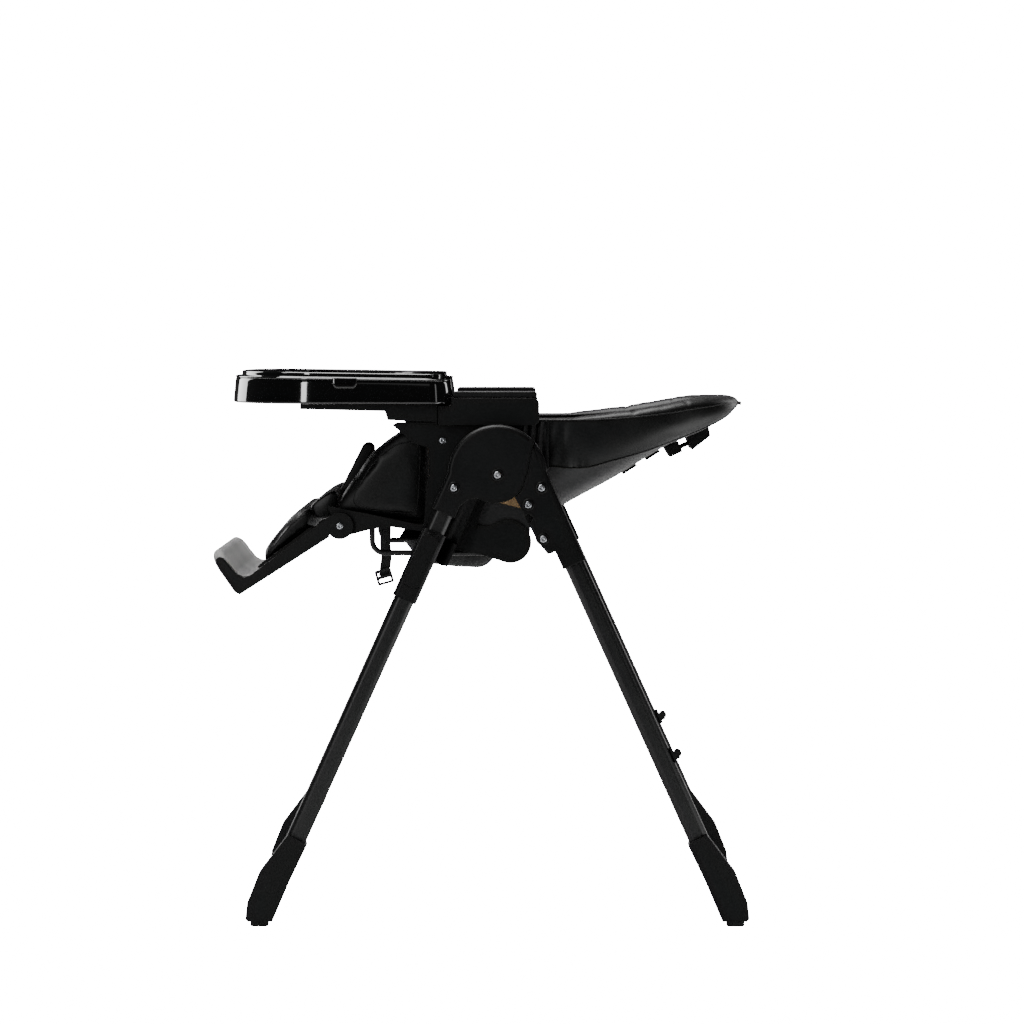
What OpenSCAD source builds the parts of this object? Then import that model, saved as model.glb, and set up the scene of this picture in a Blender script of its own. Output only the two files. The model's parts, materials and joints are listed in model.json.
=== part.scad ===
// Folding baby high chair with a reclining seat, in millimetres.
// +Z is up, the floor is Z = 0, the seat faces -X, and left is -Y.
// Pieces above the legs are drawn from the folding pivot, as [x, z] offsets.

/* [Stand] */
// Height of the folding pivot above the floor
pivot_h = 704; // [580:1:850]
// Slope of each leg from the vertical, in degrees
leg_angle = 24.3; // [20:0.1:27]
// Distance from the pivot to the centreline of a leg
leg_offset = 52; // [50:1:58]
// Depth of the flat-oval leg tube, front to back
leg_tube_d = 32; // [26:0.5:39]
// Width of the flat-oval leg tube, across the chair
leg_tube_w = 20; // [16:0.5:24]
// Wall of the leg tube
leg_wall = 1.6; // [1.2:0.1:3]
// Wall of the plastic sleeves round a leg
sleeve_wall = 3.3; // [2.5:0.1:5]
// Radius of the dome of the hub
hub_r = 77; // [74:1:95]
// Width of the hub, across the chair
hub_w = 38; // [36:0.5:46]
// Diameter of the cross tubes between the feet
cross_tube_d = 25; // [18:0.5:30]

/* [Seat] */
// Clear width between the side walls of the seat
seat_w = 348; // [290:2:420]
// Thickness of a seat side wall
side_wall_t = 6; // [4:0.5:7]
// Thickness of the seat cushion
seat_pad_t = 16; // [10:1:20]
// Thickness of the backrest cushion
back_pad_t = 20; // [12:1:26]
// Width of the harness webbing
webbing_w = 25; // [18:1:30]
// Diameter of the basket wire
basket_wire_d = 9; // [6:0.5:11]

/* [Tray] */
// Length of the tray, front to back
tray_l = 351; // [300:1:420]
// Width of the tray
tray_w = 500; // [450:2:600]
// How far back the tray's bowed front reaches
tray_bow = 172; // [130:1:180]
// Squareness of the tray's bowed front: 2 is an ellipse
tray_square = 2.7; // [2:0.1:3.5]
// Diameter of a cup recess
cup_d = 76; // [60:1:92]

/* [Fastenings] */
// Diameter of a bolt head
bolt_head_d = 11.6; // [9:0.1:14]
// Diameter of a bolt shank
bolt_d = 6; // [5:0.1:7]
// Diameter of the folding pivot pin
pivot_d = 12; // [8:0.5:16]
// Diameter of the recline pivot pin
recline_pin_d = 10; // [6:0.5:12]

/* [Hidden] */
$fn = 64;

tube_black = "#17171a";
plastic_black = "#1c1d20";
shell_black = "#26272b";
leather_black = "#1a1a1c";
webbing_black = "#141416";
gloss_black = "#0c0c0e";
tread_grey = "#4a4c50";
steel = "#b9bcc1";
rubber = "#101012";
hardboard = "#b9986a";

gap = 0.3;           // between pieces that move past each other
fit = 0.05;          // radial clearance of a pin in its bore
overlap = 5;         // how far a cut runs past the piece

// Places across the chair, from the middle outwards
wall_in = seat_w / 2;
wall_out = wall_in + side_wall_t;
frame_out = wall_out + 6;
arm_out = wall_in + 44;
plate_in = wall_in + 40;
plate_out = plate_in + 8;
hub_in = plate_out + 1;
leg_y = hub_in + hub_w / 2;
hub_mid = leg_y;
hub_out = hub_in + hub_w;
leg_in = wall_out + 2;
leg_out = leg_in + 8;
tongue_in = wall_in + 12;
tongue_w = 20;
pad_out = wall_in - 2;
board_in = wall_in - 2;
cover_out = wall_in - 3;
cover_t = 3;
shell_out = cover_out - cover_t;
shell_wall = 8;

// Places in the side view
pivot_x = 28;
sleeve_d = leg_tube_d + 2 * sleeve_wall;
sleeve_w = leg_tube_w + 2 * sleeve_wall + 6;
core_r = min(43, leg_offset - leg_tube_d / 2 + 10);
leg_top = 34;
front_sleeve_end = 88;
rear_sleeve_end = 175;
slider_top = 120;
slider_l = 115;
floor_run = (pivot_h + leg_offset * sin(leg_angle)) / cos(leg_angle);
leg_end = floor_run - 76;
foot_x = leg_offset / cos(leg_angle) + pivot_h * tan(leg_angle);
foot_bottom = 9;
foot_w = hub_w - 2;
cross_z = 36;
tongue_z = 88;
tongue_h = 20;
tongue_tip = -170;
pocket_depth = 4.5;
button_travel = 1.5;
bracket_screw = [-86, 51];
post_w = 38;
recline_at = [20, -109];
legrest_at = [-247, -83];

// ---------------------------------------------------------------- helpers

// Extrudes an [x, z] outline across the chair, from y0 to y1
module across(y0, y1) {
    translate([0, y1, 0]) rotate([90, 0, 0]) linear_extrude(y1 - y0) children();
}

// Draws from the folding pivot
module at_pivot() {
    translate([pivot_x, 0, pivot_h]) children();
}

// Draws on the left (-1) or the right (1) side
module on_side(s) {
    if (s > 0) children();
    else mirror([0, 1, 0]) children();
}

// Draws on both sides
module both_sides() {
    children();
    mirror([0, 1, 0]) children();
}

// Draws on the front (-1) or the rear (1) side of the pivot
module facing(f) {
    if (f > 0) children();
    else mirror([1, 0, 0]) children();
}

// Draws in the frame of a leg: -Z runs down its centreline, +X is outwards
module along_leg(f) {
    at_pivot() facing(f) rotate([0, -leg_angle, 0]) translate([leg_offset, 0, 0]) children();
}

// Turns an outline into the frame of a leg, for a side view from the pivot
module leg_outline(f) {
    facing(f) rotate(leg_angle) translate([leg_offset, 0]) children();
}

// A rectangle with two semicircular ends
module flat_oval(l, w) {
    square([l - w, w], center = true);
    translate([(l - w) / 2, 0]) circle(d = w);
    translate([(w - l) / 2, 0]) circle(d = w);
}

// A rectangle with four rounded corners, centred
module rounded_rect(l, w, r) {
    square([l - 2 * r, w], center = true);
    square([l, w - 2 * r], center = true);
    for (i = [-1, 1], j = [-1, 1])
        translate([i * (l / 2 - r), j * (w / 2 - r)]) circle(r = r);
}

// A cylinder across the chair from y0 to y1, at [x, z]
module rod(at, y0, y1, d) {
    translate([at[0], y1, at[1]]) rotate([90, 0, 0]) cylinder(d = d, h = y1 - y0);
}

// A bolt across the chair: shank from y0 to y1, with a domed head on y1
module bolt(at, y0, y1) {
    rod(at, y0, y1, bolt_d);
    rod(at, y1, y1 + 2, bolt_head_d);
    rod(at, y1 + 2, y1 + 2.8, bolt_head_d - 2.4);
}

// A strip of thickness t on the upper side of the line through points
module strip(points, t, angle) {
    n = [-sin(angle) * t, cos(angle) * t];
    last = len(points) - 1;
    polygon(concat(points, [for (i = [last:-1:0]) points[i] + n]));
}

// ------------------------------------------------------------------ stand

module leg(f, s) {
    color(tube_black) on_side(s) difference() {
        along_leg(f) translate([0, leg_y, -leg_end])
            linear_extrude(leg_end - leg_top) difference() {
                flat_oval(leg_tube_d, leg_tube_w);
                flat_oval(leg_tube_d - 2 * leg_wall, leg_tube_w - 2 * leg_wall);
            }
        at_pivot() for (at = f < 0 ? front_bolts : rear_bolts)
            rod(at, leg_y, leg_y + leg_tube_w, bolt_d + 2 * fit);
    }
}

module cross_tube(f) {
    color(tube_black) translate([f * (foot_x - 16) + pivot_x, leg_y + 8, cross_z])
        rotate([90, 0, 0]) difference() {
            cylinder(d = cross_tube_d, h = 2 * leg_y + 16);
            translate([0, 0, -overlap])
                cylinder(d = cross_tube_d - 3, h = 2 * leg_y + 16 + 2 * overlap);
        }
}

// A foot: it flares outwards, stands on a glide and holds both tubes
module foot(f, s) {
    color(plastic_black) on_side(s) difference() {
        translate([pivot_x, 0, 0]) facing(f) translate([foot_x, 0, 0])
            across(leg_y - foot_w / 2, leg_y + foot_w / 2) polygon([
                [-50, 145], [-4, 84], [14, 39], [17, 13], [13, foot_bottom],
                [-25, foot_bottom], [-52, 72], [-78, 126], [-76, 132]]);
        along_leg(f) translate([0, leg_y, -leg_end])
            linear_extrude(leg_end) flat_oval(leg_tube_d + 2 * fit, leg_tube_w + 2 * fit);
        rod([f * (foot_x - 16) + pivot_x, cross_z], leg_y - foot_w / 2 - overlap, leg_y + 8,
            cross_tube_d + 2 * fit);
    }
}

module glides(f) {
    color(rubber) both_sides() translate([pivot_x + f * (foot_x - 4), leg_y, 0])
        linear_extrude(foot_bottom) rounded_rect(28, 24, 6);
}

// The part of the dome that the front hub covers, seen from the side
module front_hub_outline() {
    intersection() {
        circle(r = hub_r);
        polygon([[0, 0], [46, 0], [50, 25], [57, 51], [100, 90], [0, 120], [-120, 120],
            [-120, -40], [-66, -55], [-46, -39], [-31, -36], [-16, -42], [0, -38]]);
    }
    leg_outline(-1) translate([-sleeve_d / 2, -front_sleeve_end])
        square([sleeve_d, front_sleeve_end]);
}

module front_hub(s) {
    color(plastic_black) on_side(s) difference() {
        at_pivot() {
            across(hub_mid, hub_out) {
                front_hub_outline();
                circle(r = core_r);
            }
            across(hub_in, hub_mid) difference() {
                front_hub_outline();
                circle(r = core_r - 2 + gap);
            }
        }
        along_leg(-1) translate([0, leg_y, -front_sleeve_end - overlap])
            linear_extrude(front_sleeve_end + overlap - leg_top)
                flat_oval(leg_tube_d + 2 * fit, leg_tube_w + 2 * fit);
        at_pivot() rod([0, 0], hub_in - overlap, hub_out + overlap, pivot_d + 2 * fit);
        at_pivot() for (at = front_bolts) rod(at, leg_y, hub_out + overlap, bolt_d);
    }
}

// The rear hub's dome, sleeve and the flange that carries the fold catch
module rear_hub_outline() {
    intersection() {
        circle(r = hub_r);
        polygon([[12, -6], [46.6, 0], [50.6, 25], [57.6, 50.6], [101, 88], [130, 0], [80, -100],
            [45, -68]]);
    }
    leg_outline(1) translate([-sleeve_d / 2, -rear_sleeve_end])
        square([sleeve_d, rear_sleeve_end - 20]);
    leg_outline(1) polygon([[-10, -20], [-18, -32], [-37, -56], [-38, -66], [-31, -78],
        [-29, -82], [-37, -88], [-37, -124], [-34, -134], [-27, -142], [-17, -146], [0, -140],
        [0, -20]]);
}

module rear_hub(s) {
    color(plastic_black) on_side(s) difference() {
        at_pivot() {
            across(hub_mid - gap, hub_out) difference() {
                rear_hub_outline();
                circle(r = core_r + 2 * gap);
            }
            across(hub_in, hub_mid - gap) {
                rear_hub_outline();
                circle(r = core_r - 2);
            }
        }
        along_leg(1) translate([0, leg_y, -rear_sleeve_end - overlap])
            linear_extrude(rear_sleeve_end + overlap - leg_top)
                flat_oval(leg_tube_d + 2 * fit, leg_tube_w + 2 * fit);
        at_pivot() rod([0, 0], hub_in - overlap, hub_out + overlap, pivot_d + 2 * fit);
        at_pivot() for (at = rear_bolts) rod(at, leg_y, hub_out + overlap, bolt_d);
        at_pivot() rod(catch_at, hub_in - overlap, hub_out + overlap, bolt_d);
    }
}

front_bolts = [[-67, -20]];
rear_bolts = [[68, -20], [47.6, -46]];
catch_at = [71, -99];

module hub_bolts(places) {
    color(steel) at_pivot() both_sides() {
        for (at = places) bolt(at, leg_y, hub_out);
        if (places == rear_bolts) bolt(catch_at, arm_out + 1, hub_out);
    }
}

// The folding pins, with a head outside and a washer inside each hub
module pivot_bolts() {
    color(steel) at_pivot() both_sides() {
        rod([0, 0], hub_in, hub_out, pivot_d);
        rod([0, 0], hub_out, hub_out + 2, bolt_head_d);
        rod([0, 0], hub_out + 2, hub_out + 2.8, bolt_head_d - 2.4);
    }
}

// Two pegs on the rear legs that hold the tray when it is put away
module tray_hooks() {
    color(plastic_black) both_sides() along_leg(1)
        translate([leg_tube_d / 2, 0, -510]) {
            translate([0, leg_y - 7, -12]) cube([4, 14, 24]);
            across(leg_y - 7, leg_y + 7) {
                translate([0, -8]) square([10, 12]);
                translate([9, 0]) circle(r = 6);
            }
        }
}

// Lever inside the rear hub that locks the stand open
module fold_catch(s) {
    color(plastic_black) on_side(s) at_pivot() difference() {
        across(arm_out + 1, hub_in - gap) {
            translate(catch_at) circle(r = 12);
            polygon([catch_at + [-12, 0], catch_at + [-34, 44], catch_at + [-26, 50],
                catch_at + [12, 0]]);
            polygon([catch_at + [-8, -6], catch_at + [7, -26], catch_at + [16, -24],
                catch_at + [12, 0]]);
        }
        rod(catch_at, plate_in - overlap, hub_in + overlap, bolt_d + 2 * fit);
    }
}

// --------------------------------------------------------------- carriage

// Sleeve that slides on the front leg, with the plate that carries the seat
module slider(s) {
    color(plastic_black) on_side(s) {
        along_leg(-1) difference() {
            translate([0, leg_y, -slider_top - slider_l]) linear_extrude(slider_l)
                rounded_rect(sleeve_d, sleeve_w, 7);
            translate([0, leg_y, -slider_top - slider_l - overlap])
                linear_extrude(slider_l + 2 * overlap)
                    flat_oval(leg_tube_d + 2 * gap, leg_tube_w + 2 * gap);
            button_shape(gap, -pocket_depth, overlap);
        }
        along_leg(-1) translate([-40, plate_in, -slider_top - 44])
            cube([40 - sleeve_d / 4, leg_y - sleeve_w / 2 - plate_in + 1, 38]);
        at_pivot() across(plate_in, plate_out) leg_outline(-1) {
            translate([-40, -slider_top - 36]) square([20, slider_top + 96]);
            translate([-30, -slider_top - 36]) circle(r = 10);
        }
        at_pivot() for (at = carrier_bosses) difference() {
            rod(at, frame_out, plate_in, 22);
            rod(at, frame_out - overlap, plate_in + overlap, boss_bolt_d);
        }
    }
}

carrier_bosses = [[-3, 50], [-46, -44]];
boss_bolt_d = 9;

// The pocket in the slider's face, or the button that fills it less its travel
module button_shape(grow, z0, z1) {
    translate([0, leg_y + sleeve_w / 2 + z0, -slider_top - 50]) rotate([-90, 0, 0])
        linear_extrude(z1 - z0) rounded_rect(28 + 2 * grow, 86 + 2 * grow, 9 + grow);
}

module height_button(s) {
    color(plastic_black) on_side(s) along_leg(-1)
        button_shape(0, button_travel + gap - pocket_depth, button_travel);
}

// Seat base: two side walls, and the pan between them with its front lip
module seat_base() {
    color(plastic_black) at_pivot() {
        both_sides() difference() {
            across(wall_in, wall_out) {
                polygon([[-267, -52], [-238, -58], [-216, -62], [-125, -81], [-104, -82],
                    [-72, 0], [-60, 30], [10, 30], [-2, -10], [-18, -44], [-26, -64],
                    [-33, -82], [-12, -84], [1, -77], [12, -74], [24, -74], [35, -79],
                    [44, -88], [6, -139], [-28, -128], [-51, -125], [-71, -119], [-120, -92],
                    [-168, -85], [-195, -88], [-247, -102]]);
                translate(legrest_at) circle(r = 19);
                translate(recline_at) circle(r = 33);
            }
            rod(legrest_at, wall_in - overlap, wall_out + overlap, bolt_d + 2 * fit);
            rod(recline_at, wall_in - overlap, wall_out - 2, recline_pin_d + 2 * fit);
        }
        across(-wall_in, wall_in) {
            polygon([[-262, -68], [-12, -90], [-12, -95], [-262, -73]]);
            polygon([[-262, -68], [-262, -82], [-257, -82], [-257, -68]]);
        }
    }
}

// Side frame between the seat wall, the slider's plate and the armrest
module side_frame(s) {
    color(plastic_black) on_side(s) at_pivot() difference() {
        across(wall_out, frame_out) polygon([[-94, 75], [-94, 79], [-157, 79],
            [-165, 75], [-130, 46], [-107, 39], [-107, 0],
            [-112, -40], [-116, -80], [-50, -80], [-20, -20], [20, 40], [40, 75]]);
        rod(bracket_screw, wall_out - overlap, frame_out + overlap, bolt_d);
        for (at = carrier_bosses) rod(at, wall_out - overlap, frame_out + overlap, boss_bolt_d);
    }
}

module armrest(s) {
    color(plastic_black) on_side(s) at_pivot() {
        across(wall_in, arm_out) {
            polygon([[-92, 75], [50, 75], [50, 118], [-72, 118], [-72, 106], [-92, 106]]);
            translate([44, 96.5]) rounded_rect(42, 43, 10);
        }
        across(tongue_in, tongue_in + tongue_w)
            translate([tongue_tip, tongue_z]) square([-80 - tongue_tip, tongue_h]);
    }
}

module armrest_caps() {
    color(leather_black) at_pivot() both_sides() across(wall_in + 1, arm_out - 3) {
        translate([-4, 123]) rounded_rect(132, 10, 4.9);
    }
}

module seat_cushion() {
    w = wall_in - 40;
    color(leather_black) at_pivot() difference() {
        across(-w, w) strip([[-250, -68.8], [-16, -89.4]], seat_pad_t, -5);
        across(-post_w / 2 - 1, post_w / 2 + 1) translate([-260, -80]) square([36, 60]);
    }
}

module cheek_pads() {
    color(leather_black) at_pivot() both_sides() across(wall_in - 38, pad_out)
        polygon([[-154, 63], [-194, 35], [-217, 3], [-241, -32], [-255, -57], [-250, -67],
            [-126, -78.5], [-110, -80], [-108, 60], [-130, 70]]);
}

// Post between the legs, at the front edge of the pan
module crotch_post() {
    color(plastic_black) at_pivot() across(-post_w / 2, post_w / 2) {
        polygon([[-273, -68], [-251, -68], [-201.5, 27], [-220, 36]]);
        translate([-210.7, 31.5]) circle(r = 10.4);
    }
}

module hip_boards() {
    color(hardboard) at_pivot() both_sides() across(board_in, wall_in)
        polygon([[-26, -41], [-2, -41], [3, -47.4], [46, -58.6], [58, -40], [62, 20], [30, 50],
            [-60, 50], [-70, 0]]);
}

// Smooth panels that close the gap below the boards, behind the seat walls
module hip_panels() {
    color(shell_black) at_pivot() both_sides() across(board_in, wall_in)
        polygon([[-70, -84.4], [-27, -41.5], [-2.3, -41.5], [2.8, -48], [46, -59.2], [56, -66],
            [60, -78], [46, -92], [-11, -92], [-11, -89.4]]);
}

// Screws of the brackets, bolts of the slider plates and pivot screws of the legrest
module carriage_bolts() {
    color(steel) at_pivot() both_sides() {
        bolt(legrest_at, wall_in, leg_out);
        bolt(bracket_screw, wall_out, frame_out);
        for (at = carrier_bosses) rod(at, wall_out, plate_in, boss_bolt_d);
    }
}

// Wire frame of the basket: down, round a bend and back, on each side
module basket_frame() {
    y = wall_in - 26;
    bend = 19;
    top = -79;
    low = -128;
    color(tube_black) at_pivot() {
        both_sides() {
            translate([-198, y, low + bend]) cylinder(d = basket_wire_d, h = top - low - bend);
            translate([-198 + bend, y, low + bend]) rotate([90, 180, 0])
                rotate_extrude(angle = 90) translate([bend, 0]) circle(d = basket_wire_d);
            translate([-198 + bend, y, low]) rotate([0, 90, 0])
                cylinder(d = basket_wire_d, h = 176);
        }
        rod([-3, low], -y, y, basket_wire_d);
    }
}

// Cloth basket that hangs between the wires, open at the top
module basket_sling() {
    w = wall_in - 32;
    color(webbing_black) at_pivot() difference() {
        across(-w, w) polygon([[-153, -108], [-148, -99], [-50, -99], [-50, -120], [-10, -120],
            [-10, -145], [-25, -153], [-70, -156], [-118, -148], [-148, -128]]);
        across(-w + 3, w - 3) polygon([[-150, -108], [-150, -90], [-53, -90], [-53, -117],
            [-13, -117], [-13, -143], [-26, -150], [-70, -153], [-117, -145], [-145, -126]]);
    }
}

// Lap straps and crotch strap, lying on the cushion
module lap_straps() {
    t = 2;
    lift = seat_pad_t + 0.3;
    color(webbing_black) at_pivot() {
        for (s = [-1, 1]) translate([0, s * (wall_in - 40) / 2 + s * 14, 0])
            across(-(wall_in - 72) / 2, (wall_in - 72) / 2)
                strip([[-150, -77.6 + lift], [-150 + webbing_w, -79.8 + lift]], t, -5);
        across(-webbing_w / 2, webbing_w / 2)
            strip([[-210, -72.3 + lift], [-168, -76 + lift]], t, -5);
    }
}

// The buckle lies on the straps, above the seat pad
buckle_lift = seat_pad_t + 2;

module buckle_body() {
    color(plastic_black) at_pivot() translate([0, 0, buckle_lift]) difference() {
        across(-26, 26) polygon([[-166, -76.6], [-114, -80.6], [-114, -66], [-160, -62]]);
        across(-11 - gap, 11 + gap) polygon([[-150, -70], [-126, -72], [-126, -58], [-150, -58]]);
    }
}

module buckle_button() {
    color(plastic_black) at_pivot() translate([0, 0, buckle_lift]) across(-11, 11)
        polygon([[-149.6, -65.8], [-126.4, -67.9], [-126.4, -61.6], [-149.6, -60]]);
}

// Loose end of the crotch strap under the pan, hanging flat
module strap_tail() {
    color(webbing_black) at_pivot() across(-1.2, 1.2)
        polygon([[-192, -79.2], [-176, -80.6], [-177, -118], [-174, -148], [-176, -166],
            [-193, -163], [-190.5, -140], [-191.5, -118]]);
}

// Slide buckle at the end of the loose strap, tilted as it hangs
module strap_slider() {
    color(plastic_black) at_pivot() translate([-185.5, 0, -177]) rotate([0, -16, 0])
        across(-5, -1.6) difference() {
            rounded_rect(27, 25, 3);
            translate([-9.5, -8.5]) square([19, 5.5]);
            translate([-9.5, 2]) square([19, 5.5]);
        }
}

module recline_pins() {
    color(steel) at_pivot() both_sides()
        rod(recline_at, shell_out - shell_wall, wall_out - 2, recline_pin_d);
}

// --------------------------------------------------------------- backrest

back_under = [[50, -95], [108, -57], [182, -16], [267, 36], [346, 72], [388, 106]];
back_rim = [[388, 109], [321, 103], [272, 96], [209, 88], [162, 85], [46, 83]];
back_seam = [[49, 12], [162, 19], [209, 35], [256, 49], [288, 61], [327, 74], [392, 102]];
back_inner = [[45, -88], [103, -49], [177, -8], [262, 44], [341, 84], [376, 108]];
head_x = 388;
head_r = 237;
roll_w = 25;
roll_h = 12;

// Plan of the backrest, drawn in by d: straight sides and a bowed head end
module back_plan(d) {
    intersection() {
        translate([-100, -cover_out + d]) square([head_x + 200, 2 * (cover_out - d)]);
        translate([head_x - head_r, 0]) circle(r = head_r - d, $fn = 96);
    }
    translate([-100, -cover_out + d]) square([280, 2 * (cover_out - d)]);
}

module in_plan(d) {
    intersection() {
        translate([0, 0, -200]) linear_extrude(400) back_plan(d);
        children();
    }
}

// Bucket-shaped plastic shell with its two pivot lugs
module backrest_shell() {
    color(shell_black) at_pivot() difference() {
        in_plan(cover_t) across(-cover_out, cover_out) {
            polygon(concat([[22, -127]], back_under, back_rim,
                [[52, 40], [44, -20], [34, -88]]));
            translate(recline_at) circle(r = 18);
        }
        in_plan(cover_t + shell_wall) across(-cover_out, cover_out)
            polygon(concat(back_inner, [[376, 160], [-40, 160], [-40, -90]]));
        rod(recline_at, -cover_out - overlap, cover_out + overlap, recline_pin_d + 2 * fit);
    }
}

// Sewn cover round the upper part of the shell, with the padded roll on the rim
module backrest_cover() {
    rim_down = [for (i = [len(back_rim) - 1:-1:0]) back_rim[i]];
    color(leather_black) at_pivot() difference() {
        in_plan(0) across(-cover_out, cover_out)
            polygon(concat(back_seam, [for (p = back_rim) p + [p[0] > 380 ? 4 : 0, roll_h]]));
        in_plan(cover_t) across(-cover_out - 1, cover_out + 1)
            polygon(concat([[400, -200], [0, -200], [0, 83]], rim_down, [[400, 110]]));
        in_plan(roll_w) across(-cover_out - 1, cover_out + 1)
            polygon([[0, -200], [420, -200], [420, 200], [0, 200]]);
    }
}

module backrest_cushion() {
    lean = [-0.515, 0.857];
    under = [[60, -77.6], [103, -48.7], [177, -7.6], [262, 44.4], [341, 84.4], [358, 96.4]];
    color(leather_black) at_pivot() in_plan(roll_w + 2) across(-shell_out + 12, shell_out - 12)
        polygon(concat(under, [for (i = [4:-1:0]) under[i] + back_pad_t * lean]));
}

module shoulder_straps() {
    lift = [-0.515, 0.857] * (back_pad_t + 0.3);
    color(webbing_black) at_pivot() for (s = [-1, 1])
        across(s * 48 - webbing_w / 2, s * 48 + webbing_w / 2)
            strip([[112, -43.7] + lift, [177, -7.6] + lift, [262, 44.4] + lift], 2, 31);
}

// Slotted plates that hold the straps' ends under the back
module harness_anchors() {
    color(plastic_black) at_pivot() for (s = [-1, 1]) across(s * 48 - 20, s * 48 + 20)
        for (x = [199, 236]) {
            z = -16 + (x - 182) * 52 / 85;
            polygon([[x, z - 0.2], [x + 23, z + 13.9], [x + 24, z + 11.6], [x + 2, z - 2.4]]);
        }
}

lever_slope = 24.5;

// Housing of the recline latch under the head end, with its two guide rods
module recline_housing() {
    color(plastic_black) at_pivot() {
        across(-60, 60) polygon([[304, 52.5], [338, 68], [341, 54], [312, 31]]);
        for (s = [-1, 1]) translate([312, s * 25, 42]) rotate([0, -90 - lever_slope, 0])
            cylinder(d = 5, h = 40);
    }
}

// Ribbed lever that is pulled towards the head to let the back recline
module recline_lever() {
    color(plastic_black) at_pivot() difference() {
        across(-45, 45) polygon([[268, 34], [277, 19], [297, 28], [290, 44]]);
        for (s = [-1, 1]) translate([312, s * 25, 42]) rotate([0, -90 - lever_slope, 0])
            cylinder(d = 5 + 4 * fit, h = 60);
        for (i = [0:3]) translate([268 + 1 + i * 2.4, 0, 31 - i * 4]) rotate([0, 30, 0])
            translate([-2, 0, 0]) cube([2.4, 100, 1.6], center = true);
    }
}

// ---------------------------------------------------------------- legrest

// Two arms that turn on the seat base, joined by a thin board
module legrest_frame() {
    color(plastic_black) at_pivot() {
        both_sides() difference() {
            across(leg_in, leg_out) {
                polygon([[-261, -66], [-297, -93], [-345, -129], [-388, -161], [-398, -165],
                    [-410, -158], [-420, -146], [-426, -139], [-430, -134], [-436, -132],
                    [-441, -135], [-441, -142], [-412, -187], [-404, -191], [-264, -101]]);
                translate(legrest_at) circle(r = 21);
            }
            rod(legrest_at, leg_in - overlap, leg_out + overlap, bolt_d + 2 * fit);
        }
        across(-leg_in, leg_in)
            polygon([[-374, -150.2], [-290, -88], [-292.4, -84.8], [-376.4, -147]]);
    }
}

module calf_pad() {
    color(leather_black) at_pivot() across(-pad_out, pad_out)
        polygon([[-375, -145], [-367, -128], [-345, -105], [-321, -84], [-300, -64],
            [-288, -58], [-282, -63], [-290.5, -82.6]]);
}

// Foot plate between the arms
module footrest() {
    color(tread_grey) at_pivot() across(-leg_in, leg_in)
        polygon([[-380, -157], [-388, -161], [-398, -165], [-410, -158], [-420, -146],
            [-427, -136], [-430, -130], [-436, -127], [-442, -130], [-441, -139], [-412, -187],
            [-404, -191], [-392, -181]]);
}

// ------------------------------------------------------------------- tray

tray_front = -425;
tray_rear = tray_front + tray_l;
tray_low = 109;
deck_z = 118;
tray_top = [[tray_front - 5, 151.5], [tray_rear + 5, 146]];
rim_h = 8; // how far the insert's rim stands above the lower tray

// Outline of the tray's bowed front: a superellipse from side to side
function bow(d) = let (a = tray_bow - d, b = tray_w / 2 - d, e = 2 / tray_square)
    [for (i = [-24:24]) let (t = i * 90 / 24)
        [-a * pow(cos(t), e), b * sign(t) * pow(abs(sin(t)), e)]];

// Plan of the tray, drawn in by d: a bowed front, round rear corners and a scoop for the belly
module tray_plan(d) {
    w = tray_w - 2 * d;
    rear_r = 34 - min(d, 24);
    difference() {
        union() {
            translate([tray_front + tray_bow, 0]) polygon(bow(d));
            translate([tray_front + tray_bow - 1, -w / 2])
                square([tray_l - tray_bow + 1 - d - rear_r, w]);
            translate([tray_front + tray_bow, -w / 2 + rear_r])
                square([tray_l - tray_bow - d, w - 2 * rear_r]);
            for (s = [-1, 1]) translate([tray_rear - d - rear_r, s * (w / 2 - rear_r)])
                circle(r = rear_r);
        }
        translate([tray_rear + 105, 0]) circle(r = 185 + d, $fn = 96);
    }
}

// The tray's space between two heights below its sloping top
module under_top(from, to) {
    across(-tray_w, tray_w) polygon([tray_top[0] - [0, from], tray_top[1] - [0, from],
        tray_top[1] - [0, to], tray_top[0] - [0, to]]);
}

// Lower tray: a skirt round a deck
module tray_base() {
    color(gloss_black) at_pivot() difference() {
        union() {
            translate([0, 0, tray_low]) linear_extrude(11) tray_plan(0);
            intersection() {
                translate([0, 0, tray_low]) linear_extrude(50) tray_plan(5);
                under_top(3.3, 60);
            }
        }
        translate([0, 0, tray_low - 1]) linear_extrude(deck_z - tray_low + 1) tray_plan(8);
        translate([0, 0, deck_z + 3]) linear_extrude(50) tray_plan(8);
    }
}

// Upper tray: it lifts off, with a raised rim and two cup recesses
module tray_insert() {
    floor_z = deck_z + 12;
    cups = [for (s = [-1, 1]) [tray_front + 76, s * 120]];
    color(gloss_black) at_pivot() difference() {
        union() {
            intersection() {
                translate([0, 0, tray_low]) linear_extrude(60) tray_plan(3);
                under_top(0, 3);
            }
            intersection() {
                translate([0, 0, floor_z - 3]) linear_extrude(40) tray_plan(8.4);
                under_top(1, 60);
            }
            intersection() {
                translate([0, 0, deck_z + 12]) linear_extrude(60) tray_plan(14);
                under_top(-rim_h, 60);
            }
            for (c = cups) translate([c[0], c[1], deck_z + 3.3])
                cylinder(d = cup_d + 6, h = 12);
        }
        translate([0, 0, floor_z]) linear_extrude(60) tray_plan(22);
        for (c = cups) translate([c[0], c[1], deck_z + 6.3]) cylinder(d = cup_d, h = 40);
    }
}

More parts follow.
